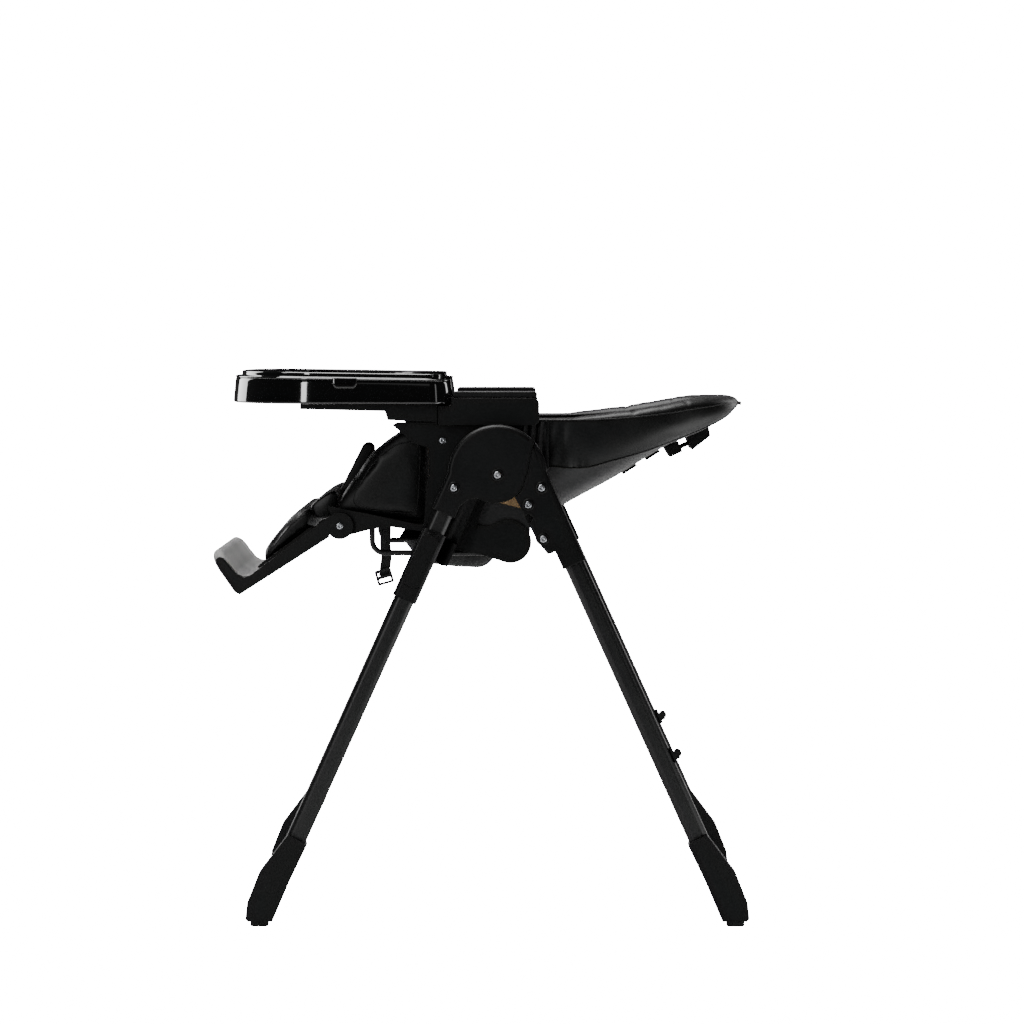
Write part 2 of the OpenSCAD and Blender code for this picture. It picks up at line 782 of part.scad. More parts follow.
// Channels under the tray that slide on the armrests' tongues
module tray_carriers() {
    y0 = wall_in + 7;
    y1 = wall_in + 37;
    color(plastic_black) at_pivot() both_sides() difference() {
        union() {
            across(y0, y1) polygon([[-307, 100], [-175, 97], [-171, 83], [tray_rear - 18.5, 80],
                [tray_rear - 18.5, deck_z], [-307, deck_z]]);
        }
        across(tongue_in - gap, tongue_in + tongue_w + gap)
            translate([tongue_tip - 4, tongue_z - gap]) square([200, tongue_h + 2 * gap]);
    }
}

// Pull handle that frees the tray, under its front edge
module tray_handle() {
    color(plastic_black) at_pivot() across(-45, 45) {
        polygon([[-404, tray_low + 1], [-370, tray_low + 1], [-370, deck_z - gap],
            [-376, deck_z - gap], [-380, tray_low + 4], [-404, tray_low + 4]]);
    }
}

// --------------------------------------------------------------- assembly

leg(-1, -1);  // front_leg_left
leg(-1, 1);  // front_leg_right
cross_tube(-1);  // front_cross_tube
foot(-1, -1);  // front_foot_left
foot(-1, 1);  // front_foot_right
glides(-1);  // front_glides
front_hub(-1);  // front_hub_left
front_hub(1);  // front_hub_right
hub_bolts(front_bolts);  // front_hub_bolts
pivot_bolts();
leg(1, -1);  // rear_leg_left
leg(1, 1);  // rear_leg_right
cross_tube(1);  // rear_cross_tube
foot(1, -1);  // rear_foot_left
foot(1, 1);  // rear_foot_right
glides(1);  // rear_glides
rear_hub(-1);  // rear_hub_left
rear_hub(1);  // rear_hub_right
hub_bolts(rear_bolts);  // rear_hub_bolts
tray_hooks();
fold_catch(-1);  // fold_catch_left
fold_catch(1);  // fold_catch_right
slider(-1);  // slider_left
slider(1);  // slider_right
height_button(-1);  // height_button_left
height_button(1);  // height_button_right
seat_base();
side_frame(-1);  // side_frame_left
side_frame(1);  // side_frame_right
armrest(-1);  // armrest_left
armrest(1);  // armrest_right
armrest_caps();
seat_cushion();
cheek_pads();
crotch_post();
hip_boards();
hip_panels();
carriage_bolts();
basket_frame();
basket_sling();
lap_straps();
buckle_body();
buckle_button();
strap_tail();
strap_slider();
recline_pins();
backrest_shell();
backrest_cover();
backrest_cushion();
shoulder_straps();
harness_anchors();
recline_housing();
recline_lever();
legrest_frame();
calf_pad();
footrest();
tray_base();
tray_carriers();
tray_handle();
tray_insert();
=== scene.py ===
"""Folding baby high chair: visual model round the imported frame. Units are metres, +Z up, seat facing -X."""
import bpy
import bmesh
import json
import math
import numpy as np
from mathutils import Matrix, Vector

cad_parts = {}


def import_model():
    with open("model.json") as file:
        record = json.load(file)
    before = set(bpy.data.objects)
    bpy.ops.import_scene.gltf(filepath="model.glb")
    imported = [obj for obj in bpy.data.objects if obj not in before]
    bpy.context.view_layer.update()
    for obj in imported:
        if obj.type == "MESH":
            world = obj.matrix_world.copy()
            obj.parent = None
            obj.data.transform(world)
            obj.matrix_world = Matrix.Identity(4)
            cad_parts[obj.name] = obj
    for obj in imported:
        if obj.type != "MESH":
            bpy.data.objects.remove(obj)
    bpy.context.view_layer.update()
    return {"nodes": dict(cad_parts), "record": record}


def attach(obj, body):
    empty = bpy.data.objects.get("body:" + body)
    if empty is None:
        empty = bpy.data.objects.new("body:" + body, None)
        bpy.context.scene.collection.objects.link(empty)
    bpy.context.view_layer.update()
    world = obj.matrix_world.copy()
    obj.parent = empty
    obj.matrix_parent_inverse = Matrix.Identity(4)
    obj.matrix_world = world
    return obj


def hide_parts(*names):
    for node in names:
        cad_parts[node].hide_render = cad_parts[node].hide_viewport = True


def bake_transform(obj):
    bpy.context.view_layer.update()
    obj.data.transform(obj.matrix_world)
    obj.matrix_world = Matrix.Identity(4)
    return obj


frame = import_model()
MM = 0.001
NODES = frame["nodes"]
BODY_OF = {n: b for b, ns in frame["record"]["behaviour"]["bodies"].items() for n in ns}
SLOT_OF = {s["node"]: s["material_slot"] for s in frame["record"]["subparts"]}
PIVOT = Vector((0.028, 0.0, 0.704))


# ------------------------------------------------------------------ stage

def camera():
    """A long lens, five metres to the chair's left side and a little above the tray."""
    data = bpy.data.cameras.new("studio_camera")
    data.lens = 108.06
    data.sensor_width = 36.0
    cam = bpy.data.objects.new("studio_camera", data)
    cam.location = (0.0571, -4.9913, 0.9208)
    cam.rotation_euler = (math.radians(90 - 3.313), 0, math.radians(0.077))
    bpy.context.scene.collection.objects.link(cam)
    bpy.context.scene.camera = cam


def softbox(name, place, target, size, power):
    """A rectangular area light, hidden from the camera."""
    data = bpy.data.lights.new(name, "AREA")
    data.shape = "RECTANGLE"
    data.size, data.size_y = size
    data.energy = power
    lamp = bpy.data.objects.new(name, data)
    lamp.location = place
    lamp.rotation_euler = (Vector(target) - Vector(place)).to_track_quat("-Z", "Y").to_euler()
    bpy.context.scene.collection.objects.link(lamp)
    lamp.visible_camera = False


def lights():
    """A box overhead, tall strips beside the camera and behind each end, a weak fill in front and a low bounce."""
    softbox("overhead_box", (-0.5, 0.2, 2.8), (-0.05, 0, 0.7), (2.4, 1.6), 100)
    softbox("left_strip", (-1.5, -3.3, 1.5), (-0.27, -0.25, 0.8), (0.32, 2.0), 27)
    softbox("right_strip", (2.5, -2.6, 1.3), (0.1, 0, 0.6), (0.4, 2.2), 4)
    softbox("front_fill", (0.3, -5.6, 3.2), (0, 0, 0.6), (1.6, 1.2), 1.5)
    softbox("back_left", (-2.4, 2.2, 1.6), (0, 0, 0.7), (1.4, 2.6), 48)
    softbox("back_right", (2.6, 2.4, 1.5), (0, 0, 0.6), (1.4, 2.6), 30)
    softbox("floor_bounce", (0.75, -0.25, 0.02), (0.3, -0.1, 0.75), (1.1, 1.3), 10)


# -------------------------------------------------------------- materials

def srgb(code):
    """An sRGB hex colour as linear RGBA."""
    c = np.array([int(code[i:i + 2], 16) / 255 for i in (1, 3, 5)])
    c = np.where(c <= 0.04045, c / 12.92, ((c + 0.055) / 1.055) ** 2.4)
    return (*c.tolist(), 1.0)


def add(tree, kind, links=None, **settings):
    """Adds a node: settings are its properties or inputs' numbers, links maps an input to a socket."""
    n = tree.nodes.new(kind)
    for key, value in settings.items():
        if hasattr(n, key):
            setattr(n, key, value)
        else:
            n.inputs[key.replace("_", " ")].default_value = value
    for key, socket in (links or {}).items():
        tree.links.new(socket, n.inputs[key])
    return n


def ramp(tree, source, low, high, dark, light):
    """A two-stop colour ramp over source."""
    n = add(tree, "ShaderNodeValToRGB", {"Fac": source})
    n.color_ramp.elements[0].position, n.color_ramp.elements[1].position = low, high
    n.color_ramp.elements[0].color, n.color_ramp.elements[1].color = dark, light
    return n


def grey(v):
    """A linear grey as RGBA."""
    return (v, v, v, 1)


def finish_of(name, base, rough, bump=None, tone=None, **shader):
    """A material: base colour, roughness range, a bump and a tone pattern, each made from the tree."""
    m = bpy.data.materials.new(name)
    m.use_nodes = True
    t = m.node_tree
    s = t.nodes["Principled BSDF"]
    place = add(t, "ShaderNodeTexCoord").outputs["Object"]
    cloud = add(t, "ShaderNodeTexNoise", {"Vector": place}, Scale=18.0, Detail=4.0).outputs["Fac"]
    pattern = tone(t, place) if tone else cloud
    colours = ramp(t, pattern, 0.3, 0.72, srgb(base[0]), srgb(base[1]))
    t.links.new(colours.outputs["Color"], s.inputs["Base Color"])
    wear = ramp(t, cloud, 0.3, 0.7, grey(rough[0]), grey(rough[1]))
    t.links.new(wear.outputs["Color"], s.inputs["Roughness"])
    if bump:
        height, strength, depth = bump(t, place)
        b = add(t, "ShaderNodeBump", {"Height": height}, Strength=strength, Distance=depth)
        t.links.new(b.outputs["Normal"], s.inputs["Normal"])
    for key, value in shader.items():
        s.inputs[key.replace("_", " ")].default_value = value
    return m


def noise_bump(size_mm, strength, depth_mm, detail=2.0):
    """Height from a noise whose lumps are size_mm across."""
    def make(t, place):
        n = add(t, "ShaderNodeTexNoise", {"Vector": place}, Scale=1000 / size_mm, Detail=detail)
        return n.outputs["Fac"], strength, depth_mm * MM
    return make


def pebble_bump(size_mm, strength, depth_mm):
    """Height from rounded cells, as embossed leather grain, over slow creases."""
    def make(t, place):
        warp = add(t, "ShaderNodeTexNoise", {"Vector": place}, Scale=320.0, Detail=2.0)
        shift = add(t, "ShaderNodeVectorMath", {0: warp.outputs["Color"]}, operation="SCALE", Scale=0.0012)
        bent = add(t, "ShaderNodeVectorMath", {0: place, 1: shift.outputs["Vector"]}, operation="ADD")
        cells = add(t, "ShaderNodeTexVoronoi", {"Vector": bent.outputs["Vector"]}, Scale=1000 / size_mm,
                    feature="SMOOTH_F1")
        crease = add(t, "ShaderNodeTexNoise", {"Vector": place}, Scale=45.0, Detail=3.0)
        sunk = add(t, "ShaderNodeMath", {0: crease.outputs["Fac"], 1: cells.outputs["Distance"]},
                   operation="SUBTRACT")
        return sunk.outputs["Value"], strength, depth_mm * MM
    return make


def weave_bump(pitch_mm, strength, depth_mm, coords="Object"):
    """Height from two crossed waves, one for each way of the threads."""
    def make(t, place):
        if coords == "UV":
            place = add(t, "ShaderNodeTexCoord").outputs["UV"]
        waves = []
        for axis in ("X", "Y"):
            w = add(t, "ShaderNodeTexWave", {"Vector": place}, bands_direction=axis,
                    Scale=1000 / pitch_mm / 20, Distortion=0.4, Detail=1.0)
            waves.append(w.outputs["Fac"])
        both = add(t, "ShaderNodeMath", {0: waves[0], 1: waves[1]}, operation="MULTIPLY")
        return both.outputs["Value"], strength, depth_mm * MM
    return make


MATERIALS = {
    # Steel tube, powder coated satin black: a soft, slightly orange-peel highlight down the tube
    "frame_tube": finish_of("powder_coated_steel", ("#0c0c0d", "#111112"), (0.32, 0.4),
                            noise_bump(2.4, 0.12, 0.08), Specular_IOR_Level=0.5),
    # Polypropylene moulding with a spark-eroded grain: matt, with a broad dull sheen
    "moulded_plastic": finish_of("grained_polypropylene", ("#040405", "#070708"), (0.42, 0.52),
                                 noise_bump(1.3, 0.16, 0.05), IOR=1.49, Specular_IOR_Level=0.26),
    # Smooth satin polypropylene of the back shell: greyer, with a long soft gradient
    "shell_plastic": finish_of("satin_polypropylene", ("#141415", "#19191a"), (0.34, 0.42),
                               noise_bump(3.0, 0.06, 0.05), IOR=1.49, Specular_IOR_Level=0.6),
    # ABS moulded in a polished tool: a deep black with sharp reflections
    "tray_gloss": finish_of("polished_abs", ("#050506", "#070708"), (0.05, 0.09),
                            noise_bump(60.0, 0.05, 0.4), IOR=1.54, Coat_Weight=1.0, Coat_Roughness=0.03),
    # Coated leathercloth, embossed: fine pebble grain with a grey sheen at grazing angles
    "leatherette": finish_of("embossed_leathercloth", ("#040405", "#080809"), (0.38, 0.48),
                             pebble_bump(1.5, 0.3, 0.2), Specular_IOR_Level=0.34, Sheen_Weight=0.1,
                             Sheen_Roughness=0.35),
    # Polyester webbing: dull ribs of thread
    "webbing": finish_of("woven_polyester", ("#0b0b0c", "#121213"), (0.7, 0.85),
                         weave_bump(1.4, 0.6, 0.3, "UV"), Sheen_Weight=0.2),
    # Acetal buckle parts: smooth and slightly waxy
    "buckle_plastic": finish_of("moulded_acetal", ("#0e0e0f", "#131314"), (0.3, 0.4),
                                noise_bump(1.5, 0.1, 0.05), IOR=1.48),
    # Zinc-plated steel: bright, with fine turning marks
    "bolt_steel": finish_of("zinc_plated_steel", ("#b4b8bd", "#d6d8db"), (0.22, 0.34),
                            noise_bump(0.8, 0.1, 0.03), Metallic=1.0),
    # Thermoplastic rubber glide: flat black
    "glide_rubber": finish_of("thermoplastic_rubber", ("#0c0c0c", "#121212"), (0.7, 0.8),
                              noise_bump(1.0, 0.2, 0.08)),
    # Soft-touch tread moulded over the foot plate: mid grey and velvety
    "footrest_tread": finish_of("soft_touch_elastomer", ("#8c8c8c", "#9c9c9b"), (0.55, 0.66),
                                noise_bump(0.9, 0.25, 0.06), Sheen_Weight=0.1),
    # Tempered hardboard edge: tan fibres
    "hardboard": finish_of("tempered_hardboard", ("#8f6f48", "#c3a377"), (0.75, 0.85),
                           noise_bump(1.6, 0.4, 0.2, 5.0)),
    # Woven polyester cloth of the basket
    "basket_cloth": finish_of("oxford_polyester", ("#050506", "#0a0a0b"), (0.75, 0.85),
                              weave_bump(1.6, 0.5, 0.25), Sheen_Weight=0.05, Specular_IOR_Level=0.25),
    # Steel wire, powder coated
    "basket_wire": finish_of("powder_coated_wire", ("#111113", "#161618"), (0.34, 0.42),
                             noise_bump(2.0, 0.1, 0.06)),
}


# ---------------------------------------------------------------- helpers

def new_piece(name, points, faces, body, slot, replaces=(), uv=None, crease=None, material=None):
    """A mesh piece at the origin, on its body, with its material."""
    mesh = bpy.data.meshes.new(name)
    mesh.from_pydata(np.asarray(points, float).tolist(), [], [tuple(f) for f in faces])
    if uv is not None:
        layer = mesh.uv_layers.new(name="UVMap")
        index = np.zeros(len(mesh.loops), int)
        mesh.loops.foreach_get("vertex_index", index)
        layer.data.foreach_set("uv", np.asarray(uv, float)[index].ravel())
    mesh.validate()
    obj = bpy.data.objects.new(name, mesh)
    bpy.context.scene.collection.objects.link(obj)
    tidy_normals(mesh)
    mesh.shade_smooth()
    if crease:
        mesh.set_sharp_from_angle(angle=math.radians(crease))
    return settle(obj, body, slot, replaces, material)


def settle(obj, body, slot, replaces=(), material=None):
    """Gives a piece the material of its slot, puts it on its body and hides the CAD nodes that it stands for."""
    obj.data.materials.clear()
    obj.data.materials.append(material or MATERIALS[slot])
    if body:
        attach(obj, body)
    if replaces:
        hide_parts(*replaces)
    return obj


def tidy_normals(mesh):
    """Merges doubles, then turns every face outwards."""
    bm = bmesh.new()
    bm.from_mesh(mesh)
    bmesh.ops.remove_doubles(bm, verts=bm.verts, dist=1e-6)
    bmesh.ops.recalc_face_normals(bm, faces=bm.faces)
    bm.to_mesh(mesh)
    bm.free()


def grid_faces(nu, nv, wrap_u=False, wrap_v=False):
    """Quads of an nu by nv grid of points, joined round where it wraps."""
    i, j = np.meshgrid(np.arange(nu if wrap_u else nu - 1), np.arange(nv if wrap_v else nv - 1), indexing="ij")
    i, j = i.ravel(), j.ravel()
    i2, j2 = (i + 1) % nu, (j + 1) % nv
    return np.stack([i * nv + j, i2 * nv + j, i2 * nv + j2, i * nv + j2], 1).tolist()


def grid_piece(name, points, body, slot, replaces=(), wrap_u=False, wrap_v=False, caps=True, uv=None, **kw):
    """A piece from an (nu, nv, 3) grid. With wrap_v, its two ends are closed with a face each."""
    nu, nv = points.shape[:2]
    faces = grid_faces(nu, nv, wrap_u, wrap_v)
    if caps and wrap_v and not wrap_u:
        faces += [list(range(nv))[::-1], list(range((nu - 1) * nv, nu * nv))]
    flat_uv = None if uv is None else uv.reshape(-1, 2)
    return new_piece(name, points.reshape(-1, 3), faces, body, slot, replaces, uv=flat_uv, **kw)


# --------------------------------------------------------------- surfaces

def world(x, y, z):
    """Offsets in millimetres from the folding pivot, as points in metres."""
    x, y, z = np.broadcast_arrays(x, y, z)
    return np.stack([PIVOT.x + x * MM, y * MM, PIVOT.z + z * MM], -1)


def smooth_line(points, x):
    """Height at x of a cubic Hermite curve through points, whose slopes are the mean of their neighbours'."""
    px, pz = np.array(points, float).T
    slope = np.gradient(pz, px)
    x = np.clip(x, px[0], px[-1])
    i = np.clip(np.searchsorted(px, x, side="right") - 1, 0, len(px) - 2)
    h = px[i + 1] - px[i]
    t = (x - px[i]) / h
    return ((2 * t ** 3 - 3 * t ** 2 + 1) * pz[i] + (t ** 3 - 2 * t ** 2 + t) * h * slope[i]
            + (3 * t ** 2 - 2 * t ** 3) * pz[i + 1] + (t ** 3 - t ** 2) * h * slope[i + 1])


def even_loop(points, count):
    """A closed line's points, count of them, the same distance apart along it."""
    p = np.array(points, float)
    ring = np.vstack([p, p[:1]])
    run = np.concatenate([[0], np.cumsum(np.linalg.norm(np.diff(ring, axis=0), axis=1))])
    at = np.linspace(0, run[-1], count, endpoint=False)
    return np.stack([np.interp(at, run, ring[:, k]) for k in range(p.shape[1])], 1)


def rounded_loop(points, count, round_mm):
    """An even loop whose corners are rounded by a Gaussian average of about round_mm along it."""
    p = even_loop(points, count)
    step = np.linalg.norm(p[1] - p[0])
    n = np.arange(count)
    kernel = np.exp(-0.5 * (np.minimum(n, count - n) * step / max(round_mm * 0.6, 1e-3)) ** 2)
    kernel /= kernel.sum()
    return np.real(np.fft.ifft(np.fft.fft(p, axis=0) * np.fft.fft(kernel)[:, None], axis=0))


def lofted_pad(outline, y0, y1, power=6.0, rings=41, bulge=0.0, count=96, round_mm=6.0):
    """A closed form: the outline is carried from y0 to y1 and shrunk towards its middle by
    (1 - |v|^power)^(1/power), where v runs from -1 to 1. Bulge is how far it swells midway, in mm."""
    loop = rounded_loop(outline, count, round_mm)
    centre = loop.mean(0)
    v = np.sin(np.linspace(-1, 1, rings) * math.pi / 2)
    s = np.maximum(1 - np.abs(v) ** power, 1e-9) ** (1 / power)
    s[[0, -1]] = 0.02
    reach = np.linalg.norm(loop - centre, axis=1).mean()
    grow = 1 + bulge / reach * (1 - v ** 2)
    p = centre + (loop - centre)[None] * (s * grow)[:, None, None]
    y = (y0 + y1) / 2 + (y1 - y0) / 2 * v
    return world(p[..., 0], y[:, None], p[..., 1])


def outward(points):
    """Unit normals of a grid, from the cross product of its two slopes."""
    a, b = np.gradient(points, axis=0), np.gradient(points, axis=1)
    n = np.cross(a, b)
    return n / np.maximum(np.linalg.norm(n, axis=-1, keepdims=True), 1e-12)


def waves(t, seed, lengths, size):
    """A sum of sines over t with seeded phases: slow unevenness of stuffed or gathered cloth."""
    phase = np.random.default_rng(seed).uniform(0, 2 * math.pi, len(lengths))
    return size * sum(np.sin(2 * math.pi * t / length + p) for length, p in zip(lengths, phase)) / len(lengths)


def bump_at(x, where, width):
    """A bell curve of height one at where."""
    return np.exp(-((x - where) / width) ** 2)


def swell(obj, cap_mm, pressure=4.0, cell_mm=5.0):
    """Blows a closed pad up as cloth, keeps each point within cap_mm of its start, and smooths it."""
    remesh = obj.modifiers.new("remesh", "REMESH")
    remesh.mode, remesh.voxel_size = "VOXEL", cell_mm * MM
    bpy.context.view_layer.update()
    still = bpy.data.meshes.new_from_object(obj.evaluated_get(bpy.context.evaluated_depsgraph_get()))
    obj.modifiers.clear()
    obj.data = still
    start = np.array([v.co for v in still.vertices])
    cloth = obj.modifiers.new("pad", "CLOTH")
    cloth.settings.use_pressure = True
    cloth.settings.uniform_pressure_force = pressure
    cloth.settings.effector_weights.gravity = 0
    cloth.settings.quality = 5
    cloth.point_cache.frame_end = 20
    scene = bpy.context.scene
    for f in range(1, 21):
        scene.frame_set(f)
    blown = bpy.data.meshes.new_from_object(obj.evaluated_get(bpy.context.evaluated_depsgraph_get()))
    end = np.array([v.co for v in blown.vertices])
    obj.modifiers.clear()
    scene.frame_set(1)
    move = end - start
    size = np.linalg.norm(move, axis=1, keepdims=True)
    move *= np.minimum(1, cap_mm * MM / np.maximum(size, 1e-9))
    still.vertices.foreach_set("co", (start + move).ravel())
    still.update()
    still.shade_smooth()
    finer = obj.modifiers.new("finer", "SUBSURF")
    finer.levels = finer.render_levels = 1
    return obj


# --------------------------------------------------------------- backrest

RIM = ((20, 82), (46, 82), (110, 82), (162, 83), (209, 86), (263, 92), (311, 100), (350, 105), (388, 109))
UNDER = ((10, -138), (22, -127), (50, -95), (108, -57), (182, -16), (267, 36), (346, 72), (386, 104))
SEAM = ((40, 11), (83, 9.5), (134, 7.5), (182, 20), (231, 34.5), (295, 58.5), (327, 71), (360, 86), (388, 103))
FRONT = ((-130, 22), (-88, 34), (-20, 44), (40, 52), (84, 46))
SIDE = 168.0
HEAD = 385.0
TAPER = 200.0
HULL = 3.4


def half_width(x):
    """Straight sides, then a superellipse of power 2.5 from TAPER to the head end."""
    t = np.clip((x - TAPER) / (HEAD - TAPER), 0, 1)
    return SIDE * (1 - t ** 2.5) ** 0.4


def along_back(n, start=46.0):
    """Places along the back, closer together towards the head end."""
    t = np.linspace(0, 1, n)
    return start + (HEAD - 0.05 - start) * (1 - (1 - t) ** 1.7)


def hull(x, share, side=1.0):
    """The bucket's outer face. At place x, a share of the depth down from the rim, its half-width is
    half_width times (1 - share^HULL)^(1/HULL). The front edge leans as FRONT says."""
    top, low = smooth_line(RIM, x), np.minimum(smooth_line(UNDER, x), smooth_line(RIM, x) - 3)
    z = top - (top - low) * share
    y = side * half_width(x) * np.maximum(1 - share ** HULL, 0) ** (1 / HULL)
    z_front, x_front = np.array(FRONT, float).T
    lean = (np.interp(z, z_front, x_front) - 46) * np.clip(1 - (x - 46) / 90, 0, 1) ** 2
    return world(x + lean, y, z)


def share_of(x, z):
    """The share of the depth at which height z lies."""
    top, low = smooth_line(RIM, x), np.minimum(smooth_line(UNDER, x), smooth_line(RIM, x) - 3)
    return np.clip((top - z) / (top - low), 0.02, 0.98)


def both_ways(half):
    """A one-sided grid (along, down) joined to its mirror image, from one front edge to the other."""
    other = half[::-1].copy()
    other[..., 1] *= -1
    return np.concatenate([half, other], 0)


def back_shell():
    """Moulded bucket: the hull's face from rim to rim, given its wall inwards."""
    x = along_back(72)[:, None]
    share = np.sin(np.linspace(0, 1, 40) * math.pi / 2)[None]
    half = hull(x, share, -1.0)
    other = half[:, ::-1][:, 1:].copy()
    other[..., 1] *= -1
    obj = grid_piece("back_shell", np.concatenate([half, other], 1), "backrest", "shell_plastic",
                     ("backrest_shell",))
    wall = obj.modifiers.new("wall", "SOLIDIFY")
    wall.thickness, wall.offset = 6 * MM, -1
    lugs = []
    for s in (-1, 1):
        a = np.linspace(0, 2 * math.pi, 48, endpoint=False)[None]
        r = np.array([0.5, 15.5, 17.2, 18, 18, 17.2, 15.5, 0.5])[:, None]
        y = s * np.array([168, 168, 167.5, 166, 161, 160.2, 160, 160.0])[:, None]
        lugs.append(world(20 + r * np.cos(a), y + 0 * a, -109 + r * np.sin(a)))
    for g, name in zip(lugs, ("back_lug_left", "back_lug_right")):
        grid_piece(name, g, "backrest", "shell_plastic", wrap_v=True)


def back_cover():
    """Sewn cover: two side panels from the lower seam to the rim, the padded roll and two lines of piping."""
    x = along_back(150)[:, None]
    v = np.linspace(0, 1, 26)[None]
    low = share_of(x, smooth_line(SEAM, x))
    share = low * (1 - v)
    half = hull(x, share, -1.0)
    lift = 3.0 + 0.8 * np.sin(math.pi * v) * np.clip((x - 46) / 60, 0, 1)
    lift = lift + (1.1 * (np.sin(2 * math.pi * (x - 46) / 17 + 2.2 * v) - 1) * np.exp(-((x - 46) / 26) ** 2)
                   + waves(x + 30 * v, 3, (47, 71, 113), 0.7) * np.sin(math.pi * v))
    for place, deep in ((127, 3.0), (119, 2.0), (136, 1.6)):
        lift = lift - deep * bump_at(x + 6 * v, place, 3.5) * np.exp(-(v / 0.24) ** 2)
    for place, deep in ((75, 1.8), (96, 1.4)):
        lift = lift - deep * bump_at(x - 9 * v, place, 5) * np.sin(math.pi * v) ** 0.5
    lift[:] = np.where(v > 0.97, 2.6, lift)
    n = outward(half)
    n *= np.sign((n * np.array([0.2, -1, 0])).sum(-1, keepdims=True))
    fade = np.clip((HEAD - x) / 14, 0, 1)[..., None]
    n = n * fade + (1 - fade) * np.array([1.0, 0, 0])
    face = half + n * lift[..., None] * MM
    inner = half + n * 0.4 * MM
    closed = np.concatenate([face, inner[:, ::-1]], 1)
    grid_piece("back_cover", both_ways(closed), "backrest", "leatherette", ("backrest_cover",), wrap_v=True)
    rim = both_ways(half[:, -1:])[:, 0]
    rim = rim[np.concatenate([[True], np.linalg.norm(np.diff(rim, axis=0), axis=1) > 4e-4])]
    along_x = (rim[:, 0] - PIVOT.x) / MM
    tangent = np.gradient(rim, axis=0)
    tangent /= np.linalg.norm(tangent, axis=1, keepdims=True)
    inward = np.cross(np.array([0, 0, 1.0]), tangent)
    a = np.linspace(0, 2 * math.pi, 40, endpoint=False)[None]
    puff = 1 + waves(along_x, 5, (29, 53, 87), 0.05)
    for place, deep in ((119, 0.22), (128, 0.14), (214, 0.18), (300, 0.1)):
        puff = puff - deep * bump_at(along_x, place, 4)
    swollen = np.interp(along_x, (46, 110, 140, 182, 263, 311, 385), (3, 3.5, 6.5, 10, 14, 14, 10)) * puff
    wide = 17 + 7 * np.clip((along_x - 60) / 200, 0, 1)
    i = (wide - 3)[:, None] - wide[:, None] * np.cos(a)
    h = np.where(np.sin(a) > 0, swollen[:, None] * np.sin(a), 7 * np.sin(a))
    up = np.array([0, 0, 1.0])
    roll = rim[:, None] + inward[:, None] * i[..., None] * MM + up * h[..., None] * MM
    grid_piece("rim_roll", roll, "backrest", "leatherette", wrap_v=True)
    edge = rim - inward * 2.6 * MM
    cord_along("rim_piping", edge, 1.2, "backrest")
    cord_along("seam_piping", both_ways(face[:, :1])[:, 0], 1.1, "backrest")


def cord_along(name, path, radius_mm, body, slot="leatherette"):
    """Round cord along a path: a circle carried square to it."""
    keep = np.concatenate([[True], np.linalg.norm(np.diff(path, axis=0), axis=1) > 3e-4])
    path = path[keep]
    t = np.gradient(path, axis=0)
    t /= np.linalg.norm(t, axis=1, keepdims=True)
    side = np.cross(t, np.array([0, 0, 1.0]))
    side /= np.maximum(np.linalg.norm(side, axis=1, keepdims=True), 1e-9)
    up = np.cross(side, t)
    a = np.linspace(0, 2 * math.pi, 10, endpoint=False)[None, :, None]
    g = path[:, None] + radius_mm * MM * (side[:, None] * np.cos(a) + up[:, None] * np.sin(a))
    return grid_piece(name, g, body, slot, wrap_v=True)


def back_liner():
    """Padded lining of the bucket: its under face lies along the wall, and its upper face swells by
    15 sqrt(edge) (1 - |t|^6)^0.5 mm between sewn channels, which are bell curves across and along it."""
    x = along_back(110, 64.0)[:, None]
    t = np.linspace(-1, 1, 91)[None]
    share = np.sin((1 - np.abs(t)) * math.pi / 2) * 0.985
    share = np.maximum(share, 0.13)
    base = hull(x, share, 1.0)
    base[..., 1] = base[..., 1] * np.sign(t + 1e-9)
    n = outward(base)
    on_side = (np.abs(t) > 0.6)[..., None]
    inside = np.array([0.2, 0, 1.0]) - 0.9 * np.sign(base[..., 1:2]) * np.array([0, 1, 0]) * on_side
    n *= np.sign((n * inside).sum(-1, keepdims=True))
    edge = np.clip((x - 64) / 26, 0, 1) * np.clip((HEAD - 12 - x) / 60, 0, 1)
    deep = 15 * np.sqrt(edge) * (1 - np.abs(t) ** 6) ** 0.5
    channel = 0.55 * (bump_at(np.abs(t), 0.36, 0.022) + bump_at(x, 150, 4) + bump_at(x, 236, 4))
    deep = deep * (1 - np.minimum(channel, 0.6)) + waves(x * 1.0 + 40 * t, 9, (37, 61), 0.7) * edge
    upper = base + n * (8.5 + deep)[..., None] * MM
    under = base + n * 7.2 * MM
    closed = np.concatenate([upper, under[:, ::-1]], 1)
    obj = grid_piece("back_liner", closed, "backrest", "leatherette", ("backrest_cushion",), wrap_v=True)


# ------------------------------------------------------------------- tray

TRAY_FRONT, TRAY_REAR, TRAY_HALF, TRAY_BOW = -425.0, -74.0, 250.0, 172.0
TRAY_LOW = 109.0
TRAY_TOP = ((-430, 151.5), (-69, 146))


